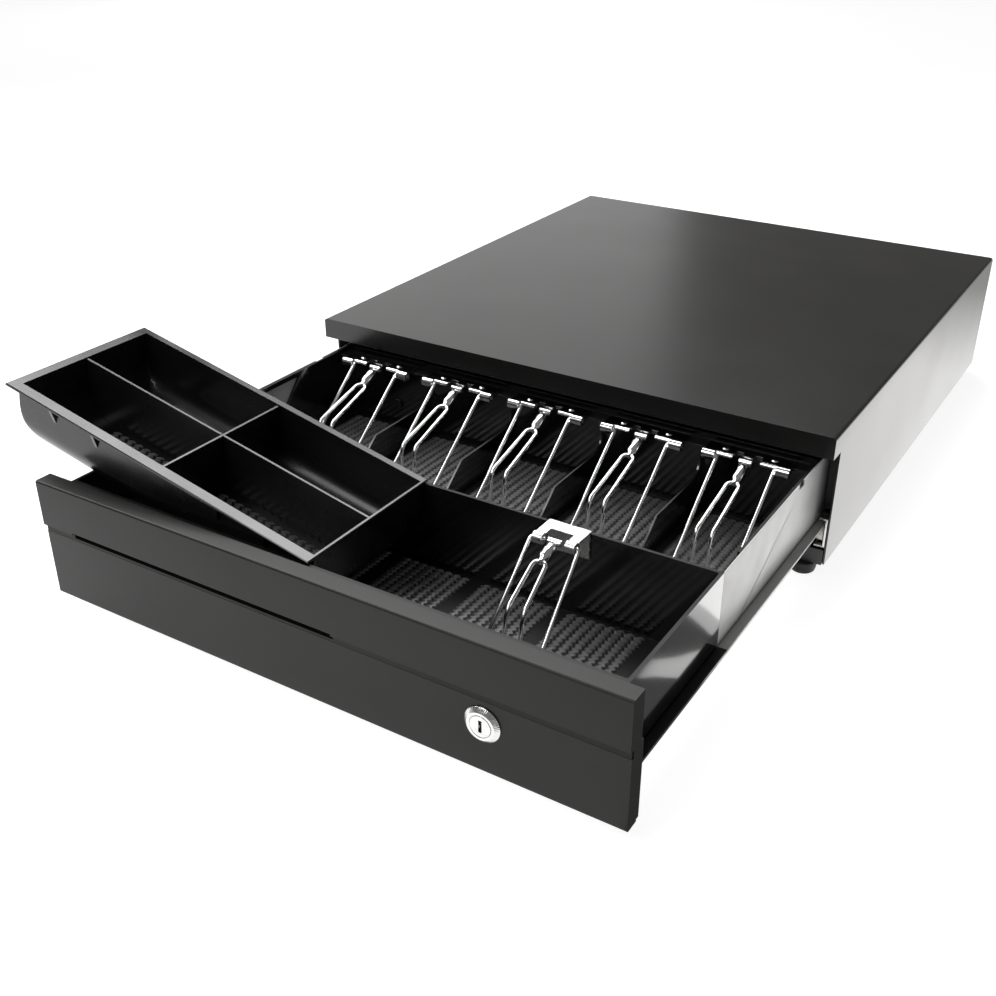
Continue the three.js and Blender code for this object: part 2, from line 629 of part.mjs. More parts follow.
function addDrawer() {
  place('front_panel', frontPanel(), panelPlastic);
  place('front_tub', frontTub(), glossBlack);
  place('drawer_pan', drawerPan(), sideSteel);
  place('drawer_rail_right', drawerRail(), sideSteel);
  place('drawer_rail_left', mirrored(drawerRail()), sideSteel);
  const wheel = roller(REAR_ROLLER.y, REAR_ROLLER.z, ROLLER.rear, RAIL.inner + SHEET + 0.5);
  place('rear_roller_right', wheel, nylon);
  place('rear_roller_left', mirrored(wheel), nylon);
  place('bill_till', billTill(), glossBlack);
  for (let i = 1; i < COMPARTMENTS; i += 1) {
    place(`divider_${i}`, divider(), glossBlack).position.x = (i - COMPARTMENTS / 2) * PITCH;
  }
  place('lock_body', lockBody(), chrome);
  place('lock_plug', lockPlug(), chrome);
  place('lock_cam', lockCam(), zinc);
  place('striker', striker(), zinc);
}

function addClips() {
  for (let i = 1; i <= COMPARTMENTS; i += 1) {
    const group = new THREE.Group();
    group.position.set((i - (COMPARTMENTS + 1) / 2) * PITCH, REAR_CLIP.y, REAR_CLIP.z);
    shell.add(group);
    place(`clip_${i}_bracket`, wideBracket(), chrome, group);
    place(`clip_${i}_bail`, bail(REAR_CLIP.legX, REAR_CLIP.half - 0.5, REAR_CLIP.legTip), chrome, group);
    place(`clip_${i}_fork`, fork([-16.5, -7], [-24, -10], [-64, -21], [-65.5, -45]), chrome, group);
  }
  const group = new THREE.Group();
  group.position.set(FRONT_CLIP.x, FRONT_CLIP.y, FRONT_CLIP.z);
  shell.add(group);
  place('clip_6_bracket', narrowBracket(), zinc, group);
  place('clip_6_bail', bail(FRONT_CLIP.legX, FRONT_CLIP.legX, FRONT_CLIP.legTip), chrome, group);
  place('clip_6_fork', fork([-14.5, -3.5], [-22, -8], [-45, -23], [-48, -50]), chrome, group);
}

function addCoinTray() {
  const tray = new THREE.Group();
  tray.position.set(TRAY.right, TRAY.front, TRAY.top);
  tray.rotation.y = TRAY.tilt;
  shell.add(tray);
  place('coin_tray_shell', trayShell(), trayPlastic, tray);
  place('tray_divider_long', trayLongDivider(), trayPlastic, tray);
  place('tray_divider_cross', trayCrossDivider(), trayPlastic, tray);
}

addCabinet();
addDrawer();
addClips();
addCoinTray();

export default object;
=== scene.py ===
"""The looks of a till drawer that stands open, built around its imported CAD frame. Metres, +Z up."""

import json
import math

import bmesh
import bpy
from mathutils import Matrix, Vector


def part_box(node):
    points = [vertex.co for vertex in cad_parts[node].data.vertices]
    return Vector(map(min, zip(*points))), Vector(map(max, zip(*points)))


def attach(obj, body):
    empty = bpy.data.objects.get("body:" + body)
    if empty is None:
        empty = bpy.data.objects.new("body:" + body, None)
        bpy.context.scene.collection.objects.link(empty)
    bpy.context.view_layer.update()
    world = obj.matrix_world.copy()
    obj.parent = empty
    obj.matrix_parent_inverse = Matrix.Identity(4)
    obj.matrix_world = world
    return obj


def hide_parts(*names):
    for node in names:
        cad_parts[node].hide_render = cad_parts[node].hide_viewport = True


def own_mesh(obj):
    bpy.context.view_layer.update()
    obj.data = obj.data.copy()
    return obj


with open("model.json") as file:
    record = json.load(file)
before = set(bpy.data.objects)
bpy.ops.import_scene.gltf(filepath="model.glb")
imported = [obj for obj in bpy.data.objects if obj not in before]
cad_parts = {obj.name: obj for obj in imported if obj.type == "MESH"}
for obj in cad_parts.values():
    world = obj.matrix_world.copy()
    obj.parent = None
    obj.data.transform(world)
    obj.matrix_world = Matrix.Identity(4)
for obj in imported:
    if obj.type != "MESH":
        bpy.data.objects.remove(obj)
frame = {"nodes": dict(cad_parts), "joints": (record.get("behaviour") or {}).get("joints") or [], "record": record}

bpy.context.view_layer.update()

# ---- places ----
# Pieces are drawn in millimetres from the cover's nose, with Z from the cabinet's underside.
MM = 0.001
NOSE_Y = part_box("top_cover")[0].y
CABINET = Matrix.Translation((0, NOSE_Y, 0)) @ Matrix.Scale(MM, 4)
JOINTS = {joint["name"]: joint for joint in frame["joints"]}

HALF = 410 / 2  # half the cabinet's width
PANEL_FACE = -280.4  # the lower half of the drawer's front
GROOVE = {"floor": -278.8, "low": 46.5, "high": 51.5}  # between the front's halves
SLOT = {"left": -179, "right": 24.4, "low": 48.4}  # the media slot
LOCK = (121, PANEL_FACE, 32)
SEAM_Y = -148.5  # where the front tub ends
FLOOR_Z = 19.5  # the drawer's inner floor
LEDGE_TOP = 73.4  # the till's ledge that carries the rear clips
TUB_HALF = 191.8
COMPARTMENTS = range(1, 6)
CLIP_PITCH = 75.3
DIVIDER_HALF = 0.8
TRAY_TILT = math.radians(12.68)
TRAY_CORNER = (-3.7, -264, 79.6)  # its right front top corner
TRAY = CABINET @ Matrix.Translation(TRAY_CORNER) @ Matrix.Rotation(TRAY_TILT, 4, "Y")


def at_joint(name):
    """A frame in millimetres whose origin is on a joint's axis."""
    return Matrix.Translation(JOINTS[name]["pos_m"]) @ Matrix.Scale(MM, 4)


# ---- camera, lights and floor, in metres ----
RANGE_SOCKETS = ("From Min", "From Max", "To Min", "To Max")
CAMERA = {
    "place": (0.38431, -0.91164, 0.42869), "target": (0.0126, -0.3161, 0.045),
    "lens": 43.515, "sensor": 36}
WORLD = {"colour": (1.0, 0.985, 0.97, 1), "strength": 0.17}
FLOOR = {"half": 9.0, "height": -0.0092, "grey": 0.4, "roughness": 0.9, "glow": 0.88}
CARD_COLOUR = (1, 0.995, 0.985, 1)
CARD_FADE = (0.2, 0.48)  # a card's glow goes from its near to its far value between these Y
CARDS = {
    "bright_card": {
        "height": -0.0088, "near": 2.3, "far": 0.8, "outline": [
            (0.2, -0.312), (0.212, -0.307), (0.218, -0.298), (0.238, -0.286), (0.9, -0.1),
            (0.9, 1.4), (0.2, 1.4)]},
    "dark_card": {
        "height": -0.0088, "near": 0.14, "far": 0.14, "outline": [
            (0.2, -1.0), (0.9, -1.0), (0.9, -0.2), (0.24, -0.301), (0.214, -0.317),
            (0.2, -0.325)]},
    "curved_card": {
        "height": -0.0086, "near": 1.2, "far": 1.2, "outline": [
            (0.239, -0.358), (0.228, -0.347), (0.219, -0.333), (0.214, -0.319), (0.208, -0.33),
            (0.212, -0.346), (0.213, -0.354), (0.219, -0.366), (0.231, -0.372), (0.239, -0.379)]},
}
SOFTBOXES = {
    "back_left": {
        "place": (-1.9, 2.3, 1.0), "target": (0, 0, 0.1), "size": (1.7, 2.0), "watts": 8},
    "overhead": {
        "place": (-0.35, 0.12, 0.95), "target": (0, -0.35, 0.05), "size": (1.1, 0.55), "watts": 16},
    "front_high": {
        "place": (-0.3, -1.25, 1.0), "target": (0.1, -0.45, 0.08), "size": (0.5, 0.5), "watts": 4},
    "high_left": {
        "place": (-1.1, -0.35, 0.9), "target": (0, -0.3, 0.05), "size": (0.8, 0.8), "watts": 14},
}


def point_at(obj, target):
    direction = Vector(target) - obj.location
    obj.rotation_euler = direction.to_track_quat("-Z", "Y").to_euler()


def add_camera():
    data = bpy.data.cameras.new("camera")
    data.sensor_width = CAMERA["sensor"]
    data.lens = CAMERA["lens"]
    camera = bpy.data.objects.new("camera", data)
    camera.location = CAMERA["place"]
    bpy.context.scene.collection.objects.link(camera)
    point_at(camera, CAMERA["target"])
    bpy.context.scene.camera = camera


def add_world():
    world = bpy.data.worlds.new("studio")
    world.use_nodes = True
    background = world.node_tree.nodes["Background"]
    background.inputs["Color"].default_value = WORLD["colour"]
    background.inputs["Strength"].default_value = WORLD["strength"]
    bpy.context.scene.world = world


def add_flat(name, material_name, outline, height):
    """A level sheet in metres, with a material of its own that has no highlights."""
    mesh = bpy.data.meshes.new(name)
    mesh.from_pydata([(x, y, height) for x, y in outline], [], [tuple(range(len(outline)))])
    flat = bpy.data.objects.new(name, mesh)
    bpy.context.scene.collection.objects.link(flat)
    material = bpy.data.materials.new(material_name)
    material.use_nodes = True
    mesh.materials.append(material)
    shader = material.node_tree.nodes["Principled BSDF"]
    shader.inputs["Specular IOR Level"].default_value = 0
    return flat, shader


def add_floor():
    """The light table. Its height is a little below the feet."""
    half = FLOOR["half"]
    corners = [(-half, -half), (half, -half), (half, half), (-half, half)]
    floor, shader = add_flat("floor", "light_table", corners, FLOOR["height"])
    shader.inputs["Base Color"].default_value = (*[FLOOR["grey"]] * 3, 1)
    shader.inputs["Roughness"].default_value = FLOOR["roughness"]
    shader.inputs["Emission Color"].default_value = (1, 1, 1, 1)
    shader.inputs["Emission Strength"].default_value = FLOOR["glow"]


def add_card(name, outline, height, near, far):
    """A glowing card on the table that only mirror reflections see."""
    card, shader = add_flat(name, name, outline, height)
    tree = card.active_material.node_tree
    shader.inputs["Base Color"].default_value = (0, 0, 0, 1)
    shader.inputs["Emission Color"].default_value = CARD_COLOUR
    place = tree.nodes.new("ShaderNodeTexCoord").outputs["Object"]
    along = tree.nodes.new("ShaderNodeSeparateXYZ")
    ramp = tree.nodes.new("ShaderNodeMapRange")
    for key, number in zip(RANGE_SOCKETS, (*CARD_FADE, near, far)):
        ramp.inputs[key].default_value = number
    tree.links.new(place, along.inputs[0])
    tree.links.new(along.outputs["Y"], ramp.inputs["Value"])
    tree.links.new(ramp.outputs["Result"], shader.inputs["Emission Strength"])
    card.visible_camera = False
    card.visible_diffuse = False
    card.visible_shadow = False


def add_softbox(name, place, target, size, watts):
    data = bpy.data.lights.new(name, "AREA")
    data.shape = "RECTANGLE"
    data.size, data.size_y = size
    data.energy = watts
    lamp = bpy.data.objects.new(name, data)
    lamp.location = place
    lamp.visible_camera = False
    bpy.context.scene.collection.objects.link(lamp)
    point_at(lamp, target)


add_camera()
add_world()
add_floor()
for card_name, card_facts in CARDS.items():
    add_card(card_name, **card_facts)
for box_name, box_facts in SOFTBOXES.items():
    add_softbox(box_name, **box_facts)
bpy.context.scene.view_settings.view_transform = "Standard"


# ---- materials ----
NOISE_SPAN = (0.3, 0.7)  # where most of a noise's values lie
TOP_SPAN = (0.8, 0.95)  # how far up a normal points on a face that counts as a top


class Finish:
    """A Principled material whose colour, roughness and bump come from procedural textures."""

    def __init__(self, name, **sockets):
        self.material = bpy.data.materials.new(name)
        self.material.use_nodes = True
        self.tree = self.material.node_tree
        self.shader = self.tree.nodes["Principled BSDF"]
        self.coords = self.tree.nodes.new("ShaderNodeTexCoord").outputs["Object"]
        self.normal = None
        for key, value in sockets.items():
            socket = key.replace("_", " ")
            self.shader.inputs[socket].default_value = value

    def node(self, kind, **inputs):
        made = self.tree.nodes.new(kind)
        for key, value in inputs.items():
            socket = made.inputs[key.replace("_", " ")]
            if isinstance(value, bpy.types.NodeSocket):
                self.tree.links.new(value, socket)
            else:
                socket.default_value = value
        return made

    def noise(self, size, detail=3.0, stretch=(1, 1, 1)):
        """Noise whose features are about this many millimetres across."""
        scale = self.node("ShaderNodeMapping", Vector=self.coords, Scale=stretch)
        made = self.node(
            "ShaderNodeTexNoise", Vector=scale.outputs[0], Scale=1000 / size, Detail=detail)
        return made.outputs["Fac"]

    def cells(self, size):
        """Cells that are about this many millimetres across."""
        made = self.node("ShaderNodeTexVoronoi", Vector=self.coords, Scale=1000 / size)
        return made.outputs["Distance"]

    def spread(self, value, span, low, high):
        """Carries a value from its span to the range from low to high."""
        made = self.node("ShaderNodeMapRange", Value=value)
        for key, number in zip(RANGE_SOCKETS, (*span, low, high)):
            made.inputs[key].default_value = number
        return made.outputs["Result"]

    def tops(self, socket, side, top):
        """Gives a socket one value on faces that look up, and another on the rest."""
        normal = self.node("ShaderNodeNewGeometry").outputs["Normal"]
        height = self.node("ShaderNodeSeparateXYZ", Vector=normal).outputs["Z"]
        made = self.spread(height, TOP_SPAN, side, top)
        self.tree.links.new(made, self.shader.inputs[socket])

    def colour(self, factor, dark, light):
        ramp = self.node("ShaderNodeValToRGB", Fac=factor)
        for stop, place, tint in zip(ramp.color_ramp.elements, NOISE_SPAN, (dark, light)):
            stop.position = place
            stop.color = (*tint, 1)
        self.tree.links.new(ramp.outputs[0], self.shader.inputs["Base Color"])
        return self

    def roughness(self, factor, low, high):
        made = self.spread(factor, NOISE_SPAN, low, high)
        self.tree.links.new(made, self.shader.inputs["Roughness"])
        return self

    def bump(self, height, strength, depth):
        """Adds a relief this many millimetres deep."""
        made = self.node("ShaderNodeBump", Height=height, Strength=strength, Distance=depth * MM)
        if self.normal is not None:
            self.tree.links.new(self.normal, made.inputs["Normal"])
        self.normal = made.outputs["Normal"]
        self.tree.links.new(self.normal, self.shader.inputs["Normal"])
        return self


def cover_paint():
    made = Finish("cover_paint_satin", IOR=1.5)
    made.colour(made.noise(60), (0.009, 0.0086, 0.0082), (0.012, 0.0115, 0.011))
    made.roughness(made.noise(90, 2), 0.24, 0.27)
    return made.bump(made.noise(0.9, 2), 0.1, 0.04).bump(made.cells(1.3), 0.04, 0.03)


def black_paint():
    made = Finish("black_paint_satin", IOR=1.5)
    made.colour(made.noise(30), (0.006, 0.006, 0.006), (0.011, 0.011, 0.011))
    made.roughness(made.noise(20), 0.38, 0.5)
    return made.bump(made.noise(1.2), 0.2, 0.05)


def panel_plastic():
    made = Finish("panel_plastic_satin", IOR=1.5, Specular_IOR_Level=0.24)
    made.colour(made.noise(80), (0.013, 0.0123, 0.0113), (0.016, 0.0151, 0.014))
    made.tops("Roughness", 0.35, 0.5)
    return made.bump(made.noise(0.7, 2), 0.15, 0.04)


# A darker, duller copy of the panel plastic: painted shade for the strip in the groove between the front's halves.
def groove_shade_plastic():
    made = Finish("groove_shade_plastic_matt", IOR=1.5, Specular_IOR_Level=0.2)
    made.colour(made.noise(80), (0.010, 0.0095, 0.009), (0.013, 0.0122, 0.0115))
    made.roughness(made.noise(60, 3), 0.42, 0.5)
    return made.bump(made.noise(0.7, 2), 0.15, 0.04)


def gloss_black():
    made = Finish("gloss_black_plastic", IOR=1.5, Coat_Roughness=0.08)
    made.colour(made.noise(40), (0.004, 0.004, 0.004), (0.008, 0.008, 0.008))
    # Faces that look up are rougher, with no coat and a lower specular level, so their reflections are dimmer:
    # painted shade on the tops of rims and floors.
    made.tops("Roughness", 0.14, 0.5)
    made.tops("Coat Weight", 0.8, 0.0)
    made.tops("Specular IOR Level", 0.5, 0.22)
    return made.bump(made.noise(45, 1), 0.35, 0.5)


def rib_plastic_painted_sheen():
    made = Finish("rib_plastic_painted_sheen_gloss", IOR=1.6, Coat_Weight=0.6, Coat_Roughness=0.2)
    # The ribs' colour is the plastic's dark tone lifted far above the black plastic round them: a painted
    # highlight that stands in for the sheen on their teeth.
    made.colour(made.noise(8), (0.08, 0.08, 0.08), (0.11, 0.11, 0.11))
    made.roughness(made.noise(4), 0.34, 0.44)
    return made.bump(made.noise(1.5), 0.2, 0.05)


def tray_plastic():
    made = Finish("tray_plastic_gloss", IOR=1.5)
    made.colour(made.noise(50), (0.005, 0.005, 0.005), (0.010, 0.010, 0.010))
    made.roughness(made.noise(30, 5), 0.2, 0.3)
    return made.bump(made.noise(9, 2), 0.08, 0.1)


def side_steel():
    made = Finish("side_steel_coated", IOR=1.5)
    made.colour(made.noise(25, 2), (0.42, 0.42, 0.417), (0.47, 0.47, 0.467))
    made.roughness(made.noise(14, 4), 0.3, 0.4)
    return made.bump(made.noise(3, 3, (1, 0.08, 1)), 0.05, 0.03)


def zinc():
    made = Finish("zinc_plate", Metallic=1.0)
    made.colour(made.noise(6), (0.68, 0.68, 0.67), (0.80, 0.80, 0.79))
    made.roughness(made.noise(5), 0.22, 0.38)
    return made.bump(made.noise(2, 4), 0.08, 0.03)


def chrome():
    made = Finish("chrome_wire", Metallic=1.0)
    made.colour(made.noise(5), (0.80, 0.80, 0.795), (0.90, 0.90, 0.895))
    made.roughness(made.noise(3), 0.08, 0.18)
    return made.bump(made.noise(4, 2), 0.06, 0.04)


def spring_steel():
    made = Finish("spring_steel", Metallic=1.0)
    made.colour(made.noise(5), (0.30, 0.30, 0.31), (0.42, 0.42, 0.43))
    made.roughness(made.noise(4), 0.25, 0.4)
    return made.bump(made.noise(2), 0.1, 0.03)


def nylon():
    made = Finish("nylon", IOR=1.5, Subsurface_Weight=0.1, Subsurface_Scale=0.002)
    made.colour(made.noise(4), (0.62, 0.60, 0.55), (0.70, 0.68, 0.63))
    made.roughness(made.noise(3), 0.38, 0.5)
    return made.bump(made.noise(1.5), 0.1, 0.04)


def rubber():
    made = Finish("rubber_matte", IOR=1.45)
    made.colour(made.noise(6), (0.008, 0.008, 0.008), (0.016, 0.016, 0.016))
    made.roughness(made.noise(4), 0.65, 0.85)
    return made.bump(made.noise(0.8), 0.3, 0.06)


def coil_wrap():
    made = Finish("coil_tape", IOR=1.45)
    made.colour(made.noise(7), (0.02, 0.035, 0.07), (0.035, 0.055, 0.10))
    made.roughness(made.noise(5), 0.35, 0.5)
    return made.bump(made.noise(2, 3, (1, 1, 0.1)), 0.2, 0.1)


FINISH_MAKERS = (
    cover_paint, black_paint, panel_plastic, groove_shade_plastic, gloss_black, rib_plastic_painted_sheen,
    tray_plastic, side_steel, zinc, chrome, spring_steel, nylon, rubber, coil_wrap)
FINISHES = {maker.__name__: maker().material for maker in FINISH_MAKERS}


# ---- CAD pieces that stay: their finishes and their softened edges ----
EDGE_RADIUS = {
    "top_cover": 0.7, "front_panel": 0.7, "front_tub": 0.35, "bill_till": 0.35, "base_plate": 0.3,
    "rear_panel": 0.3, "front_frame": 0.3, "drawer_pan": 0.3, "solenoid_body": 0.8,
    "ejector_housing": 0.5, "drawer_switch": 0.5, "cable_socket": 0.3,
}
THIN_EDGE = 0.2
WELD_DISTANCE = 0.01
BEVEL_ANGLE = math.radians(40)
SLOT_OF = {part["node"]: part["material_slot"] for part in frame["record"]["subparts"]}


def smooth(mesh):
    for layer in ("custom_normal", "sharp_edge"):
        if layer in mesh.attributes:
            mesh.attributes.remove(mesh.attributes[layer])
    mesh.polygons.foreach_set("use_smooth", [True] * len(mesh.polygons))


def round_edges(obj, radius, flat_faces):
    bevel = obj.modifiers.new("bevel", "BEVEL")
    bevel.width = radius * MM
    bevel.segments = 2
    bevel.limit_method = "ANGLE"
    bevel.angle_limit = BEVEL_ANGLE
    bevel.harden_normals = flat_faces


def soften(obj, radius):
    """Welds the split corners, rounds the edges, and keeps flat faces flat."""
    weld = obj.modifiers.new("weld", "WELD")
    weld.merge_threshold = WELD_DISTANCE * MM
    round_edges(obj, radius, True)


def finish_cad_nodes():
    for name, obj in frame["nodes"].items():
        obj.data.materials.clear()
        obj.data.materials.append(FINISHES[SLOT_OF[name]])
        smooth(obj.data)
        soften(obj, EDGE_RADIUS.get(name, THIN_EDGE))


finish_cad_nodes()


# ---- mesh tools ----
def round_corner(before, corner, after, radius, share, steps):
    """A curve across a corner that takes at most a share of each side."""
    reach = min(radius, (before - corner).length * share, (after - corner).length * share)
    start = corner + (before - corner).normalized() * reach
    end = corner + (after - corner).normalized() * reach
    times = [i / steps for i in range(steps + 1)]
    return [start * (1 - t) ** 2 + corner * 2 * t * (1 - t) + end * t * t for t in times]


def fillet(points, radius, steps=6):
    """The same path with its corners rounded."""
    points = [Vector(p) for p in points]
    path = [points[0]]
    for before, corner, after in zip(points, points[1:], points[2:]):
        path += round_corner(before, corner, after, radius, 0.49, steps)
    path.append(points[-1])
    return path


def rounded_outline(points, radius):
    """A closed flat outline with its corners rounded."""
    points = [Vector(p) for p in points]
    outline = []
    for i, corner in enumerate(points):
        after = points[(i + 1) % len(points)]
        outline += round_corner(points[i - 1], corner, after, radius, 0.45, 3)
    return [tuple(p) for p in outline]


def arc(centre, radius, start, end, steps):
    """Points on a circle in a plane, with the angles in degrees."""
    angles = [math.radians(start + (end - start) * i / steps) for i in range(steps + 1)]
    return [(centre[0] + radius * math.cos(a), centre[1] + radius * math.sin(a)) for a in angles]


def ring(centre, side, up, radius, sides):
    """Points on a circle in the plane of two directions."""
    turns = [2 * math.pi * k / sides for k in range(sides)]
    return [centre + (side * math.cos(t) + up * math.sin(t)) * radius for t in turns]


DOME_REACH = (0.5, 0.3)  # the rings of a wire's domed end, as shares of its radius
DOME_WIDTH = (0.5, 0.82)
AXIS_ORDER = {"xy": (0, 1, 2), "xz": (0, 2, 1), "yz": (2, 0, 1)}


class Shape:
    """Closed meshes in millimetres, gathered into one piece."""

    def __init__(self):
        self.mesh = bmesh.new()

    def rings(self, loops, closed=False):
        """Skins a row of vertex loops, and caps both ends unless the row is closed."""
        made = [[self.mesh.verts.new(p) for p in loop] for loop in loops]
        rows = list(zip(made, made[1:])) + ([(made[-1], made[0])] if closed else [])
        for a, b in rows:
            for i in range(len(a)):
                j = (i + 1) % len(a)
                self.mesh.faces.new((a[i], a[j], b[j], b[i]))
        if not closed:
            self.mesh.faces.new(list(reversed(made[0])))
            self.mesh.faces.new(made[-1])
        return self

    def tube(self, path, radius, sides):
        """A round wire with domed ends."""
        path = [Vector(p) for p in path]
        first, last = (path[0] - path[1]).normalized(), (path[-1] - path[-2]).normalized()
        head = [path[0] + first * radius * reach for reach in DOME_REACH]
        tail = [path[-1] + last * radius * reach for reach in reversed(DOME_REACH)]
        widths = [*DOME_WIDTH, *[1] * len(path), *reversed(DOME_WIDTH)]
        path = head + path + tail
        tangents = []
        for i in range(len(path)):
            a, b = path[max(i - 1, 0)], path[min(i + 1, len(path) - 1)]
            tangents.append((b - a).normalized())
        side = tangents[0].orthogonal().normalized()
        loops = []
        for point, tangent, width in zip(path, tangents, widths):
            side = (side - tangent * side.dot(tangent)).normalized()
            loops.append(ring(point, side, tangent.cross(side), radius * width, sides))
        return self.rings(loops)

    def lathe(self, profile, origin, axis, sides, closed=False):
        """Turns (radius, height) points about an axis from an origin."""
        axis = Vector(axis).normalized()
        side = axis.orthogonal().normalized()
        up = axis.cross(side)
        loops = [ring(Vector(origin) + axis * h, side, up, r, sides) for r, h in profile]
        return self.rings(loops, closed)

    def prism(self, outline, low, high, plane="xy"):
        """Carries an outline in one plane along the third axis."""
        order = AXIS_ORDER[plane]
        loops = [[tuple((u, v, w)[k] for k in order) for u, v in outline] for w in (low, high)]
        return self.rings(loops)

    def piece(self, name, body, finish, place=CABINET, replaces=(), bevel=0.0, sharp=38):
        """Makes the object. Edges that turn more than sharp degrees stay sharp."""
        bmesh.ops.remove_doubles(self.mesh, verts=self.mesh.verts, dist=1e-5)
        bmesh.ops.recalc_face_normals(self.mesh, faces=self.mesh.faces)
        for edge in self.mesh.edges:
            edge.smooth = edge.calc_face_angle(0) < math.radians(sharp)
        for face in self.mesh.faces:
            face.smooth = True
        data = bpy.data.meshes.new(name)
        self.mesh.transform(place)
        self.mesh.to_mesh(data)
        self.mesh.free()
        data.materials.append(FINISHES[finish])
        obj = bpy.data.objects.new(name, data)
        bpy.context.scene.collection.objects.link(obj)
        if bevel:
            round_edges(obj, bevel, False)
        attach(obj, body)
        if replaces:
            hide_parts(*replaces)
        return obj


# ---- bill clips, drawn from the pin that each one turns on ----
WIRE = 1.4  # its radius
BARREL_OUTER = 3.6
BARREL_BORE = 1.6
PLATE = 1.2
PLATE_GAP = 0.3
PLATE_FRONT = 0.4
REAR_PIN_Z = 72.2
REAR_UNDER = LEDGE_TOP + PLATE_GAP - REAR_PIN_Z
REAR_WIRES = {"pin_end": 29.5, "bend": 19.8, "tip": (19.8, -62, -49.0), "foot": 3.0}
REAR_PRESSER = {"sleeve": (-17, -7.3), "knee": (-64, -21), "tip": (-65.5, -45.5)}
FRONT_PIN = {"y": -168, "z": 76.1}
FRONT_UNDER = 77.6 - FRONT_PIN["z"]  # just above the cross wall
FRONT_WIRES = {"pin_end": 6.9, "bend": 15.7, "tip": (17.8, -54, -52.8), "foot": 0.5}
FRONT_PRESSER = {"sleeve": (-15.5, -4.5), "knee": (-45, -23.5), "tip": (-48, -50)}
CROSS_WALL = 2
CRIMPED_SLEEVE = [  # radius, and how far along, as a share of its length
    (1.7, 0.14), (3.2, 0.24), (3.55, 0.36), (3.55, 0.76), (3.2, 0.86), (2.3, 0.92), (2.1, 0.96),
    (2.4, 1.0), (2.2, 1.06)]


def curl(shape, x0, x1):
    """The plate's front edge, rolled round the pin."""
    outer = arc((0, 0), BARREL_OUTER, 62, 395, 20)
    inner = arc((0, 0), BARREL_BORE, 395, 62, 20)
    return shape.prism(outer + inner, x0, x1, "yz")


def rivet(shape, x, y, z):
    head = [(2.5, -0.3), (2.5, 0), (2.5, 0.15), (2.15, 0.63), (1.25, 0.9), (0.02, 0.945)]
    return shape.lathe(head, (x, y, z), (0, 0, 1), 20)


def lipped_tab(shape, x0, x1, y_back, z_low, z_high, drop):
    """A stretch of plate whose front edge turns down."""
    thick = z_high - z_low
    bend = 2.2
    centre = (bend, z_high - bend)
    outer = arc(centre, bend, 90, 180, 6)
    inner = arc(centre, bend - thick, 180, 90, 6)
    outline = [(y_back, z_high)] + outer + [(0.0, z_high - drop)] + [(thick, z_high - drop)]
    return shape.prism(outline + inner + [(y_back, z_low)], x0, x1, "yz")


def rear_bracket():
    """The plate on the till's ledge: two arms with a barrel each, and a tongue between them."""
    shape = Shape()
    under, over = REAR_UNDER, REAR_UNDER + PLATE
    end, back, barrel = 30, 14, 21.4
    for side in (-1, 1):
        half = [
            (end, PLATE_FRONT), (end, back), (9, back), (9, 3.0), (barrel, 3.0),
            (barrel, PLATE_FRONT)]
        outline = [(side * x, y) for x, y in half]
        shape.prism(rounded_outline(outline, 1.2), under, over)
        lipped_tab(shape, *sorted((side * 9.8, side * 21.0)), 3.4, under, over, 1.7)
        curl(shape, *sorted((side * barrel, side * end)))
        rivet(shape, side * 17, 8, over)
    tongue = [
        (-4, 3.4), (-4, 8), (-9.2, 8), (-9.2, back), (9.2, back), (9.2, 8), (4, 8), (4, 3.4)]
    shape.prism(rounded_outline(tongue, 0.8), under, over)
    return shape


def front_bracket():
    """The plate on the front tub's cross wall, with a skirt that hangs down its front."""
    shape = Shape()
    half, arm, drop = 14.0, 7.5, 17
    under, over = FRONT_UNDER, FRONT_UNDER + PLATE
    back = SEAM_Y - 1 - FRONT_PIN["y"]
    wall = SEAM_Y - CROSS_WALL - PLATE_GAP - FRONT_PIN["y"]
    outline = [
        (-half, PLATE_FRONT), (-arm, PLATE_FRONT), (-arm, 9), (arm, 9), (arm, PLATE_FRONT),
        (half, PLATE_FRONT), (half, back), (-half, back)]
    shape.prism(rounded_outline(outline, 0.8), under, over)
    curl(shape, -half, -arm)
    curl(shape, arm, half)
    top, low = under + 0.4, under - drop
    skirt = [(-half, top), (half, top), (half, low), (-half, low)]
    shape.prism(rounded_outline(skirt, 0.8), wall - PLATE, wall, "xz")
    return shape


def legs(pin_end, bend, tip, foot):
    """Two separate wires from their barrels down to the notes. The right one has a foot."""
    shape = Shape()
    x, y, z = tip
    for side in (-1, 1):
        path = [(side * pin_end, 0, 0), (side * bend, 0, 0), (side * x, y, z)]
        if side > 0:
            path.append((x + foot, y - 1.5, z + 0.2))
        shape.tube(fillet(path, 2.4), WIRE, 14)
    return shape


def hairpin(loop, knee, tip):
    """One wire with its closed end at the sleeve, and both prongs down to the notes."""
    narrow, spread, straight = 4.2, 5.3, 3
    start = Vector((0, *loop))
    way = Vector((0, knee[0] - loop[0], knee[1] - loop[1])).normalized()
    turns = [math.pi * k / 12 for k in range(13)]
    bend = [
        start + Vector((narrow * math.cos(a), 0, 0)) + way * narrow * (1 - math.sin(a))
        for a in turns]

    def prong(side):
        """From the notes up to the closed end."""
        root = start + Vector((side * narrow, 0, 0)) + way * (narrow + straight)
        path = [Vector((side * spread, *tip)), Vector((side * spread, *knee)), root]
        return fillet(path, 7.0, 8)[:-1]

    return prong(1) + bend + list(reversed(prong(-1)))


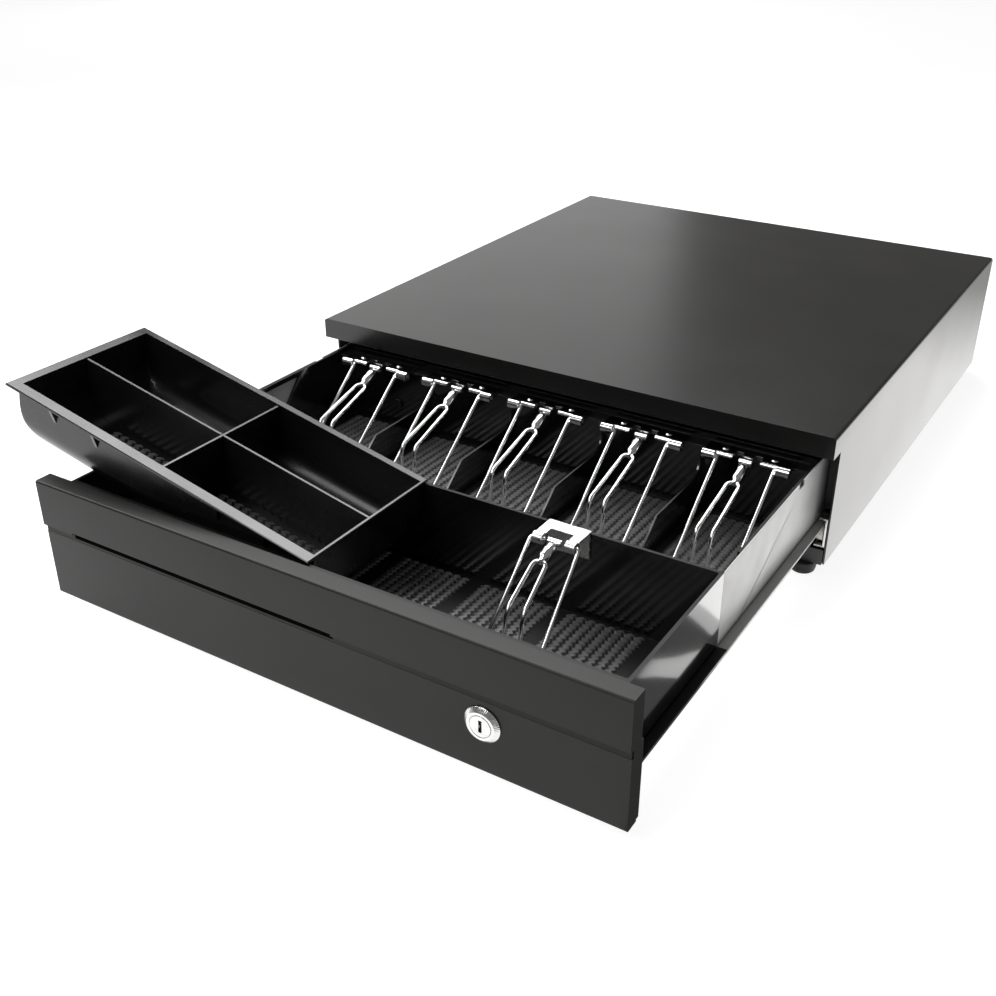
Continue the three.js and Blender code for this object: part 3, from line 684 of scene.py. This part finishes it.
def presser(sleeve, knee, tip):
    """A crimped sleeve on the pin, and a hairpin whose loop it grips."""
    shape = Shape()
    hub = [(2.0, -4.6), (2.35, -4.2), (2.35, 4.2), (2.0, 4.6)]
    shape.lathe(hub, (0, 0, 0), (1, 0, 0), 18)
    way = Vector((0, *sleeve))
    length = way.length
    profile = [(1.5, 1.6)] + [(radius, length * share) for radius, share in CRIMPED_SLEEVE]
    shape.lathe(profile, (0, 0, 0), way, 28)
    return shape.tube(hairpin(sleeve, knee, tip), WIRE, 14)


def add_clip(number, bracket, finish, wires, prongs):
    """A clip's plate, its two leg wires, and the sprung hairpin between them."""
    clip = f"clip_{number}"
    place = at_joint(f"{clip}_legs_lift")
    bracket.piece(f"{clip}_plate", "drawer", finish, place, [f"{clip}_bracket"], bevel=0.2)
    legs(**wires).piece(f"{clip}_leg_wires", f"{clip}_legs", "chrome", place, [f"{clip}_bail"])
    presser(**prongs).piece(
        f"{clip}_hairpin", f"{clip}_presser", "chrome", place, [f"{clip}_fork"])


for compartment in COMPARTMENTS:
    add_clip(compartment, rear_bracket(), "chrome", REAR_WIRES, REAR_PRESSER)
add_clip(6, front_bracket(), "zinc", FRONT_WIRES, FRONT_PRESSER)

# ---- ribbed floors ----
RIB = {"pitch": 6.4, "half": 2.55, "height": 1.5, "sway": 1.0, "tooth": 2.0}
RIB_SECTION = [  # across and up, as shares of the half width and the height
    (-1, -0.1), (-0.9, 0.35), (-0.6, 0.8), (0, 1), (0.6, 0.8), (0.9, 0.35), (1, -0.1)]
RIB_SHARP = 25
BILL_FLOOR = {"front": SEAM_Y + 3, "back": 6, "gap": 2.0}
FRONT_FLOOR = {"front": -260, "back": -154, "gap": 2.5}
FRONT_FLOOR_EDGES = (-190, -148, -87, -26, 35, 96, 157, TUB_HALF)


def zigzag_ribs(shape, x_range, y_range, z):
    """Rows of moulded zigzag ribs that run from front to back."""
    count = max(1, int((x_range[1] - x_range[0]) / RIB["pitch"]))
    margin = (x_range[1] - x_range[0] - (count - 1) * RIB["pitch"]) / 2
    steps = int((y_range[1] - y_range[0]) / RIB["tooth"])
    for row in range(count):
        centre = x_range[0] + margin + row * RIB["pitch"]
        loops = []
        for k in range(steps + 1):
            sway = RIB["sway"] * (1 if k % 2 else -1)
            y = y_range[0] + k * RIB["tooth"]
            loops.append([
                (centre + sway + u * RIB["half"], y, z + v * RIB["height"])
                for u, v in RIB_SECTION])
        shape.rings(loops)
    return shape


def add_bill_floors():
    reach = CLIP_PITCH / 2 - DIVIDER_HALF - BILL_FLOOR["gap"]
    y_range = (BILL_FLOOR["front"], BILL_FLOOR["back"])
    for i in COMPARTMENTS:
        middle = (i - 3) * CLIP_PITCH
        shape = zigzag_ribs(Shape(), (middle - reach, middle + reach), y_range, FLOOR_Z)
        shape.piece(f"bill_floor_ribs_{i}", "drawer", "rib_plastic_painted_sheen", sharp=RIB_SHARP)


def add_front_floor():
    shape = Shape()
    gap = FRONT_FLOOR["gap"]
    y_range = (FRONT_FLOOR["front"], FRONT_FLOOR["back"])
    for left, right in zip(FRONT_FLOOR_EDGES, FRONT_FLOOR_EDGES[1:]):
        zigzag_ribs(shape, (left + gap, right - gap), y_range, FLOOR_Z)
    shape.piece("front_floor_ribs", "drawer", "rib_plastic_painted_sheen", sharp=RIB_SHARP)


add_bill_floors()
add_front_floor()

# ---- coin tray ----
TRAY_SIZE = {"length": 243, "width": 115.5, "depth": 42.9, "wall": 1.8, "flange": 2.0}
BORDER = {"left": 5.2, "front": 5.7, "back": 3.2}
BEND = {"left": 30, "right": 10, "side": 18}  # from the tray's walls into its floor
GUSSETS = {"places": (-36, -72, -171, -207), "thick": 2.4, "root": 1.2, "reach": 7, "low": -17}
TRAY_RIBS_X = ((-206, -120), (-114, -12))
TRAY_RIBS_Y = ((24, 55), (62, 93))
SAME = 1e-4  # points that are nearer than this lie together


def trough(low_end, high_end, floor, low_radius, high_radius, top):
    """A row of points down one wall, along the floor and up the other."""
    left = arc((low_end + low_radius, floor + low_radius), low_radius, 180, 270, 14)
    right = arc((high_end - high_radius, floor + high_radius), high_radius, 270, 360, 10)
    walls, spans = 5, 16
    down = [(low_end, top + (left[0][1] - top) * i / walls) for i in range(walls)]
    up = [(high_end, right[-1][1] + (top - right[-1][1]) * (i + 1) / walls) for i in range(walls)]
    span = [
        (left[-1][0] + (right[0][0] - left[-1][0]) * i / spans, floor) for i in range(1, spans)]
    return down + left + span + right + up


def blended(a, b, softness=2.5):
    """The greater of two heights, with a soft turn where they meet."""
    h = max(softness - abs(a - b), 0) / softness
    return max(a, b) + h * h * softness / 4


def bowl(inset, top):
    """The tray's inner or outer skin as a grid of points."""
    size = TRAY_SIZE
    floor = -size["depth"] + inset
    along = trough(
        -size["length"] + BORDER["left"] + inset, -inset, floor, BEND["left"] - inset,
        BEND["right"] - inset, top)
    across = trough(
        BORDER["front"] + inset, size["width"] - BORDER["back"] - inset, floor,
        BEND["side"] - inset, BEND["side"] - inset, top)
    return [
        [Vector((x, y, min(top, blended(za, zb)))) for y, zb in across] for x, za in along]


def border_of(grid):
    """The indices of the grid's outer points, in order round it."""
    rows, columns = len(grid), len(grid[0])
    first = [(0, j) for j in range(columns)]
    side = [(i, columns - 1) for i in range(1, rows - 1)]
    last = [(rows - 1, j) for j in reversed(range(columns))]
    back = [(i, 0) for i in reversed(range(1, rows - 1))]
    return first + side + last + back


def tray_shell():
    """The inner and outer skins, joined round the edge of the flange."""
    shape = Shape()
    verts = shape.mesh.verts
    flange = TRAY_SIZE["flange"]
    skins = []
    for inset, top in ((TRAY_SIZE["wall"], 0.0), (0.0, -flange)):
        grid = bowl(inset, top)
        made = [[verts.new(p) for p in row] for row in grid]
        for a, b in zip(made, made[1:]):
            for j in range(len(a) - 1):
                shape.mesh.faces.new((a[j], a[j + 1], b[j + 1], b[j]))
        skins.append([made[i][j] for i, j in border_of(grid)])
    low = Vector((-TRAY_SIZE["length"], 0, 0))
    high = Vector((0, TRAY_SIZE["width"], 0))
    inner = [v.co.copy() for v in skins[0]]
    box_low = Vector(map(min, zip(*inner)))
    box_high = Vector(map(max, zip(*inner)))

    def outward(point, z, inset):
        """The point of the flange's edge that lies straight out from a point of the opening."""
        x = low.x + inset if abs(point.x - box_low.x) < SAME else point.x
        x = high.x - inset if abs(point.x - box_high.x) < SAME else x
        y = low.y + inset if abs(point.y - box_low.y) < SAME else point.y
        y = high.y - inset if abs(point.y - box_high.y) < SAME else y
        return verts.new((x, y, z))

    loops = [skins[0]]
    for z, inset in ((0, 0.5), (-0.5, 0.0), (0.4 - flange, 0.0), (-flange, 0.4)):
        loops.append([outward(p, z, inset) for p in inner])
    loops.append(skins[1])
    for a, b in zip(loops, loops[1:]):
        for i in range(len(a)):
            j = (i + 1) % len(a)
            shape.mesh.faces.new((a[i], a[j], b[j], b[i]))
    bmesh.ops.dissolve_degenerate(shape.mesh, edges=shape.mesh.edges, dist=SAME)
    root, reach, top = GUSSETS["root"], GUSSETS["reach"], -flange + 0.1
    gusset = [(root, top), (reach, top), (reach, GUSSETS["low"])]
    for x in GUSSETS["places"]:
        shape.prism(gusset, x, x + GUSSETS["thick"], "yz")
    return shape


def add_coin_tray():
    tray_shell().piece(
        "coin_tray_bowl", "coin_tray", "tray_plastic", TRAY, ["coin_tray_shell"], sharp=30)
    shape = Shape()
    floor = -TRAY_SIZE["depth"] + TRAY_SIZE["wall"]
    for x_range in TRAY_RIBS_X:
        for y_range in TRAY_RIBS_Y:
            zigzag_ribs(shape, x_range, y_range, floor)
    shape.piece("coin_tray_ribs", "coin_tray", "rib_plastic_painted_sheen", TRAY, sharp=RIB_SHARP)


add_coin_tray()


# ---- the drawer's front: lock, groove and rails ----
BEZEL = [  # radius, height, and whether the row is notched
    (9.0, 11.0, False), (9.0, -0.3, False), (11.0, -0.3, False), (11.0, -0.75, False),
    (10.8, -1.0, True), (8.7, -2.7, True), (8.35, -2.9, False), (8.0, -2.95, False),
    (6.95, -2.9, False), (6.7, -2.7, False), (6.7, 11.0, False)]
BEZEL_SIDES = 192
NOTCH = {"every": 3, "depth": 0.22}
WARDS = {"root": 1.2, "tip": 0.55, "slope": 0.4, "front": -2.4, "back": 2.5}
WARD_HEIGHTS = ((-1, -1.4, 0.9), (1, 1.3, 2.9))  # side, low, high
STRIP_GAP = 0.1
RAIL = {"inner": 194.3, "outer": 200.5, "low": 15, "under": 26.8, "top": 28, "thick": 1.2}
ROLLERS = {
    "front": {"y": 20.5, "z": 20.9, "radius": 5.5}, "rear": {"y": 112, "z": 19.95, "radius": 6.2}}
STUD_RADIUS = 1.95  # the rear rollers' studs


def add_lock():
    x, y, z = LOCK
    loops = []
    for radius, height, notched in BEZEL:
        loop = []
        for k in range(BEZEL_SIDES):
            turn = 2 * math.pi * k / BEZEL_SIDES
            r = radius - (NOTCH["depth"] if notched and k % NOTCH["every"] == 0 else 0)
            loop.append((x + r * math.cos(turn), y + height, z + r * math.sin(turn)))
        loops.append(loop)
    bezel = Shape().rings(loops, closed=True)
    bezel.piece("lock_bezel", "drawer", "chrome", replaces=["lock_body"], sharp=50)
    root, tip, slope = WARDS["root"], WARDS["tip"], WARDS["slope"]
    wards = Shape()
    for side, low, high in WARD_HEIGHTS:
        ward = [(root, low), (tip, low + slope), (tip, high - slope), (root, high)]
        outline = [(x + side * u, z + v) for u, v in ward]
        wards.prism(outline, y + WARDS["front"], y + WARDS["back"], "xz")
    wards.piece("lock_wards", "lock", "spring_steel")


def add_groove_shade_strip():
    """A dark matte strip that nearly fills the groove, with the media slot left open. It is painted shade in the
    groove between the front's halves.
    """
    gap = STRIP_GAP
    end = HALF - 0.4
    low, high = GROOVE["low"] + gap, GROOVE["high"] - gap
    left, right, dip = SLOT["left"] - gap, SLOT["right"] + gap, SLOT["low"] - gap
    outline = [
        (-end, low), (end, low), (end, high), (right, high), (right, dip), (left, dip),
        (left, high), (-end, high)]
    shape = Shape().prism(outline, PANEL_FACE + gap, GROOVE["floor"] + gap, "xz")
    shape.piece("panel_groove_shade_strip", "drawer", "groove_shade_plastic")


def add_rail(side):
    """The drawer's rail: black where it runs along the tub, and coated steel behind."""
    node = f"drawer_rail_{side}"
    way = 1 if side == "right" else -1
    box_low, box_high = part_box(node)
    front, back = (box_low.y - NOSE_Y) / MM, (box_high.y - NOSE_Y) / MM
    inner, outer, low, under, top, thick = RAIL.values()
    angle = [
        (inner, low), (inner + thick, low), (inner + thick, under), (outer, under),
        (outer, top), (inner, top)]
    outline = [(way * x, z) for x, z in angle]
    Shape().prism(outline, front, SEAM_Y, "xz").piece(
        f"{node}_front", "drawer", "gloss_black", replaces=[node], bevel=0.2)
    shape = Shape().prism(outline, SEAM_Y, back, "xz")
    y, z = ROLLERS["rear"]["y"], ROLLERS["rear"]["z"]
    stud = [(way * (inner + 0.5), y, z), (way * (outer + 0.2), y, z)]
    shape.tube(stud, STUD_RADIUS, 24)
    shape.piece(f"{node}_rear", "drawer", "side_steel", bevel=0.2)


add_lock()
add_groove_shade_strip()
add_rail("left")
add_rail("right")


# ---- rollers, feet, spring and screws ----
FOOT_PLACES = {"front": 17, "rear": 420}
FOOT_X = {"left": -190, "right": 190}
FOOT_PROFILE = [
    (0.02, -9), (6.8, -9), (7.6, -8.7), (8.4, -7.9), (8.7, -6.5), (8.9, -6.2), (8.9, -5.8),
    (9.0, -5.4), (9.4, -1.4), (9.2, -0.5), (8.8, -0.3), (0.02, -0.3)]
SPRING = {
    "x": -60, "z": 22, "front": 412.2, "back": 433, "coil": 5.6, "wire": 0.6, "turns": 4}
SCREW_HEAD = [
    (2.6, -0.2), (2.6, 0.25), (2.418, 0.78), (1.872, 1.209), (1.3, 1.3), (0.884, 1.274),
    (0.78, 0.455), (0.02, 0.325)]
BACK_SCREWS = ((-190, 88), (-95, 88), (95, 88), (190, 88), (-190, 12), (190, 12))
BASE_SCREWS = ((-150, 40), (-150, 400), (150, 40), (150, 400))


def wheel(x, y, z, radius, width):
    """A nylon wheel on its stud, with a rounded tread and a sunk hub."""
    half = width / 2
    profile = [
        (2.3, -half + 0.3), (3.0, -half), (3.4, -half + 0.5), (radius - 1.4, -half + 0.5),
        (radius - 1.0, -half), (radius - 0.5, -half), (radius, -half + 0.6),
        (radius, half - 0.6), (radius - 0.5, half), (radius - 1.0, half),
        (radius - 1.4, half - 0.5), (3.4, half - 0.5), (3.0, half), (2.3, half - 0.3)]
    return Shape().lathe(profile, (x, y, z), (1, 0, 0), 40, closed=True)


def add_rollers():
    for end, roller in ROLLERS.items():
        for side in ("left", "right"):
            node = f"{end}_roller_{side}"
            low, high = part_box(node)
            middle = (low.x + high.x) / 2 / MM
            wheel(middle, **roller, width=(high.x - low.x) / MM).piece(
                f"{node}_wheel", node, "nylon", replaces=[node])


def add_feet():
    for row, y in FOOT_PLACES.items():
        for side, x in FOOT_X.items():
            node = f"foot_{row}_{side}"
            Shape().lathe(FOOT_PROFILE, (x, y, 0), (0, 0, 1), 40).piece(
                f"{node}_pad", "cabinet", "rubber", replaces=[node])


def add_ejector_spring():
    """The spring behind the ejector, drawn at one length. The real one shortens as the drawer's back pushes it in.
    """
    x, z, front, back, coil, wire, turns = SPRING.values()
    steps = turns * 24
    path = [
        (x + coil * math.cos(2 * math.pi * turns * k / steps), front + (back - front) * k / steps,
         z + coil * math.sin(2 * math.pi * turns * k / steps)) for k in range(steps + 1)]
    spring = Shape().tube(path, wire, 10).piece(
        "ejector_spring_coil", "cabinet", "spring_steel", replaces=["ejector_spring"])
    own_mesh(spring)


def add_screws():
    """Pan heads with a sunk middle, in the cabinet's back and base."""
    shape = Shape()
    back = (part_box("rear_panel")[1].y - NOSE_Y) / MM
    for x, z in BACK_SCREWS:
        shape.lathe(SCREW_HEAD, (x, back, z), (0, 1, 0), 24)
    for x, y in BASE_SCREWS:
        shape.lathe(SCREW_HEAD, (x, y, 0), (0, 0, -1), 24)
    shape.piece("cabinet_screws", "cabinet", "zinc")


add_rollers()
add_feet()
add_ejector_spring()
add_screws()

# ---- the end ----
bpy.context.view_layer.update()
